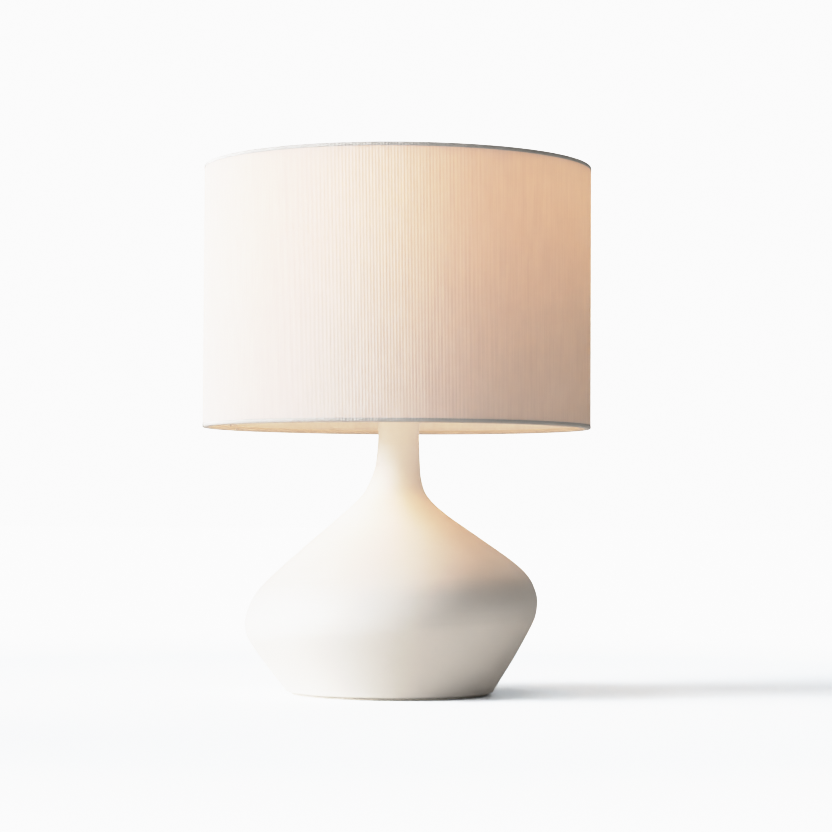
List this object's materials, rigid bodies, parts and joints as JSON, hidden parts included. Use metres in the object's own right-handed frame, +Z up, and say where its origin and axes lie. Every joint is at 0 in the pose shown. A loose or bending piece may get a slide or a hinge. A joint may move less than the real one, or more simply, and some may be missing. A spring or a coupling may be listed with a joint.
{
  "type": "table lamp",
  "caption": "Table lamp with a leaning matt ceramic body, a long tapering neck and a ribbed fabric drum shade held by a harp and spider over a screw-in bulb.",
  "frame": {"origin": "on the threaded pipe's axis, at the underside of the felt pad", "axes": "+Z up along the pipe and the shade's axis; -Y the front; +X the side that the ceramic body leans away from low down"},
  "size_m": [0.3578, 0.3578, 0.483],
  "materials": {
    "ceramic": "matt white bisque",
    "felt": "pale felt",
    "steel": "zinc plated",
    "nickel": "satin nickel",
    "brass": "plain brass",
    "white_paint": "white powder coat",
    "shade_fabric": "off-white ribbed fabric, translucent",
    "shade_liner": "white styrene lining sheet",
    "hem_fabric": "folded fabric edge, grey beside the cover",
    "black_plastic": "moulded phenolic",
    "card": "fibre insulating card",
    "white_plastic": "moulded white plastic",
    "bulb_diffuser": "frosted diffuser, lit",
    "clear_plastic": "translucent nylon"
  },
  "bodies": {
    "lamp": {"ceramic_body": "ceramic", "cord_grommet": "white_plastic", "felt_pad": "felt", "threaded_pipe": "steel", "clamp_plate": "steel", "lock_washer": "steel", "bottom_hex_nut": "steel", "top_hex_nut": "steel", "neck_cap": "nickel", "harp_saddle": "nickel", "socket_cap": "nickel", "cap_set_screw": "steel", "socket_shell": "nickel", "socket_liner": "card", "socket_body": "black_plastic", "screw_shell": "brass", "centre_contact": "brass", "terminal_screw_live": "brass", "terminal_screw_neutral": "steel", "lead_live": "black_plastic", "lead_neutral": "white_plastic", "crimp_live": "clear_plastic", "crimp_neutral": "clear_plastic"},
    "switch": {"switch_shaft": "brass", "switch_knob": "black_plastic"},
    "bulb": {"bulb_tip_contact": "brass", "bulb_insulator": "black_plastic", "bulb_screw_base": "nickel", "bulb_housing": "white_plastic", "bulb_dome": "bulb_diffuser"},
    "harp": {"harp": "nickel", "harp_stud": "nickel"},
    "sleeve_front": {"harp_sleeve_front": "nickel"},
    "sleeve_back": {"harp_sleeve_back": "nickel"},
    "finial": {"finial": "nickel"},
    "shade": {"shade_cover": "shade_fabric", "shade_liner": "shade_liner", "shade_top_hem": "hem_fabric", "shade_bottom_hem": "hem_fabric", "shade_top_ring": "white_paint", "shade_bottom_ring": "white_paint", "shade_seam_tape": "shade_liner", "spider_hub": "white_paint", "spider_arm_1": "white_paint", "spider_arm_2": "white_paint", "spider_arm_3": "white_paint"}
  },
  "joints": [
    {"name": "switch_turn", "type": "hinge", "parent": "lamp", "child": "switch", "pos_m": [0.017, 0, 0.2862], "axis": [1, 0, 0], "continuous": true},
    {"name": "bulb_lift", "type": "slide", "parent": "lamp", "child": "bulb", "axis": [0, 0, 1], "range_m": [0, 0.026]},
    {"name": "harp_lift", "type": "slide", "parent": "lamp", "child": "harp", "axis": [0, 0, 1], "range_m": [0, 0.016]},
    {"name": "sleeve_front_slide", "type": "slide", "parent": "harp", "child": "sleeve_front", "axis": [0, 0, 1], "range_m": [0, 0.012]},
    {"name": "sleeve_back_slide", "type": "slide", "parent": "harp", "child": "sleeve_back", "axis": [0, 0, 1], "range_m": [0, 0.012]},
    {"name": "finial_lift", "type": "slide", "parent": "harp", "child": "finial", "axis": [0, 0, 1], "range_m": [0, 0.235]},
    {"name": "shade_turn", "type": "hinge", "parent": "finial", "child": "shade", "pos_m": [0, 0, 0.4598], "axis": [0, 0, 1], "continuous": true}
  ]
}
